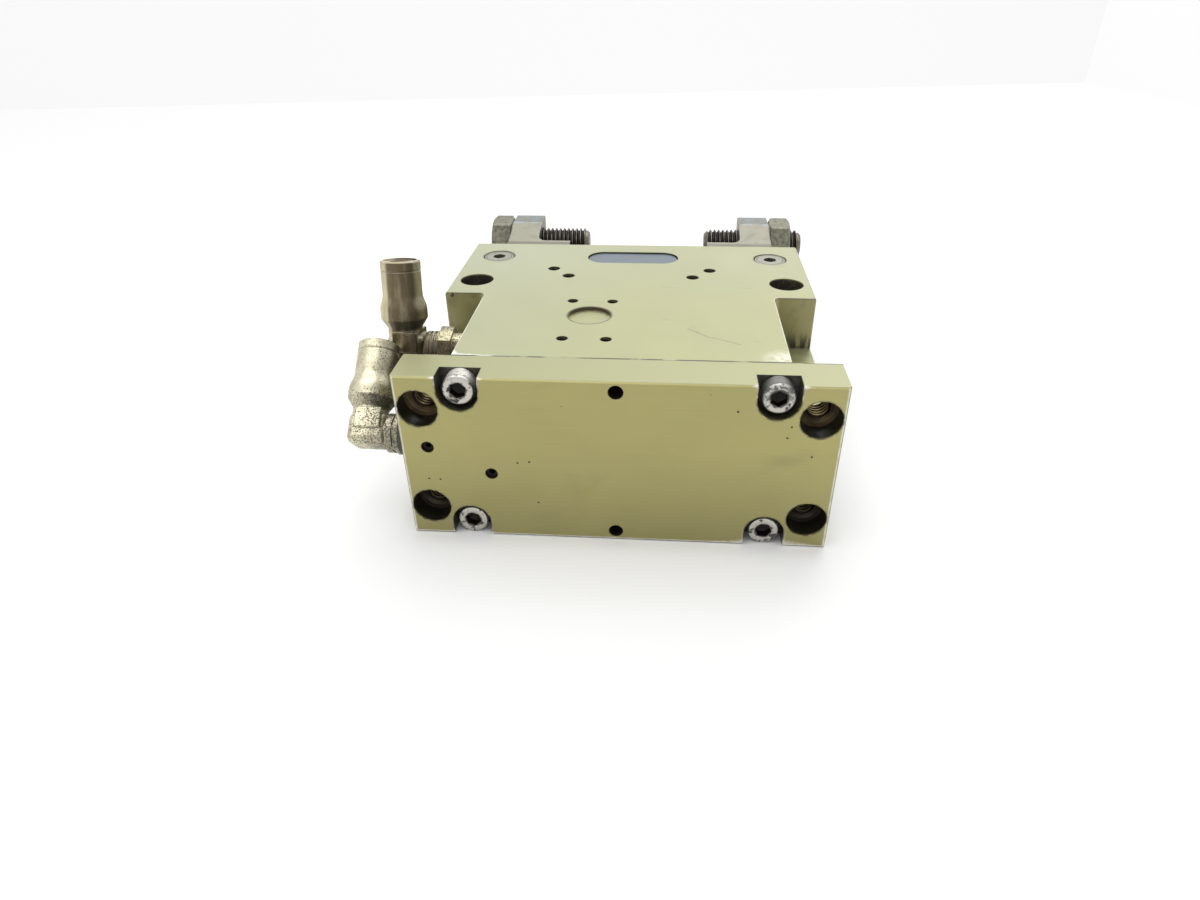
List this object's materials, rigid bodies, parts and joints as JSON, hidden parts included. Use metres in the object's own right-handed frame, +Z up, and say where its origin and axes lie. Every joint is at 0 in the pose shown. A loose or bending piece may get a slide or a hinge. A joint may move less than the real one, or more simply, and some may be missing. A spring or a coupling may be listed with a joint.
{
  "type": "pneumatic angular gripper",
  "caption": "Flat anodised pneumatic angular gripper: a sprung piston swings pivoting fingers that carry grip screws, elbow fittings feed it air and its rear cover bolts to a robot.",
  "frame": {"origin": "centre of the rear cover's outer face, where the gripper is bolted on", "axes": "+Y along the gripper from the rear cover to the finger tips, +X across it to the side away from the fittings, +Z up as it lies on its broad lower face"},
  "size_m": [0.1431, 0.1689, 0.0679],
  "materials": {
    "anodised_aluminium": "satin champagne-olive anodised, worn bright at edges",
    "bright_aluminium": "turned",
    "zinc_steel": "worn zinc plate",
    "ground_steel": "ground",
    "milled_steel": "milled, dull",
    "black_steel": "blackened, worn at the edges",
    "spring_steel": "oiled",
    "bearing_bronze": "sintered",
    "nickel_brass": "nickel plated, pitted",
    "black_rubber": "moulded",
    "guide_plastic": "machined",
    "seal_plastic": "moulded",
    "badge_plastic": "slate, plain"
  },
  "bodies": {
    "housing": {"housing": "anodised_aluminium", "rear_cover": "anodised_aluminium", "cover_screws": "zinc_steel", "cover_seal": "black_rubber", "port_plugs": "zinc_steel", "badge": "badge_plastic", "left_pivot_pin": "ground_steel", "right_pivot_pin": "ground_steel", "thrust_washers": "bearing_bronze", "rod_bush": "bearing_bronze", "rod_seal": "black_rubber", "rear_gasket": "seal_plastic", "front_gasket": "seal_plastic", "rear_stem": "nickel_brass", "front_stem": "nickel_brass", "closing_spring": "spring_steel"},
    "piston": {"piston": "bright_aluminium", "piston_seal": "black_rubber", "piston_guide_ring": "guide_plastic", "piston_screw": "zinc_steel", "drive_block": "milled_steel"},
    "left_finger": {"left_finger": "milled_steel", "left_pivot_bushes": "bearing_bronze", "left_drive_pin": "ground_steel", "left_grip_screw": "black_steel", "left_jam_nut": "black_steel"},
    "right_finger": {"right_finger": "milled_steel", "right_pivot_bushes": "bearing_bronze", "right_drive_pin": "ground_steel", "right_grip_screw": "black_steel", "right_jam_nut": "black_steel"},
    "rear_elbow": {"rear_elbow": "nickel_brass", "rear_tube_seal": "black_rubber"},
    "rear_collet": {"rear_collet": "nickel_brass"},
    "front_elbow": {"front_elbow": "nickel_brass", "front_tube_seal": "black_rubber"},
    "front_collet": {"front_collet": "nickel_brass"}
  },
  "joints": [
    {"name": "piston_slide", "type": "slide", "parent": "housing", "child": "piston", "axis": [0, -1, 0], "range_m": [0, 0.006], "stiffness_N_per_m": 3000, "springref_m": -0.012, "deforming": ["closing_spring"]},
    {"name": "left_finger_hinge", "type": "hinge", "parent": "housing", "child": "left_finger", "pos_m": [-0.04735, 0.09425, 0], "axis": [0, 0, 1], "range_deg": [0, 15]},
    {"name": "right_finger_hinge", "type": "hinge", "parent": "housing", "child": "right_finger", "pos_m": [0.04735, 0.09425, 0], "axis": [0, 0, -1], "range_deg": [0, 15]},
    {"name": "rear_elbow_swivel", "type": "hinge", "parent": "housing", "child": "rear_elbow", "pos_m": [-0.0692, 0.00665, 0.0039], "axis": [-1, 0, 0], "range_deg": [-132, 0]},
    {"name": "front_elbow_swivel", "type": "hinge", "parent": "housing", "child": "front_elbow", "pos_m": [-0.0645, 0.0345, 0.0164], "axis": [-1, 0, 0], "range_deg": [0, 100]},
    {"name": "rear_collet_release", "type": "slide", "parent": "rear_elbow", "child": "rear_collet", "axis": [0, -0.7314, -0.682], "range_m": [0, 0.0011]},
    {"name": "front_collet_release", "type": "slide", "parent": "front_elbow", "child": "front_collet", "axis": [0, -0.2079, -0.9781], "range_m": [0, 0.0011]}
  ],
  "couplings": [
    {"joint": "left_finger_hinge", "follows": "piston_slide", "rad_per_m": 43.633},
    {"joint": "right_finger_hinge", "follows": "piston_slide", "rad_per_m": 43.633}
  ]
}
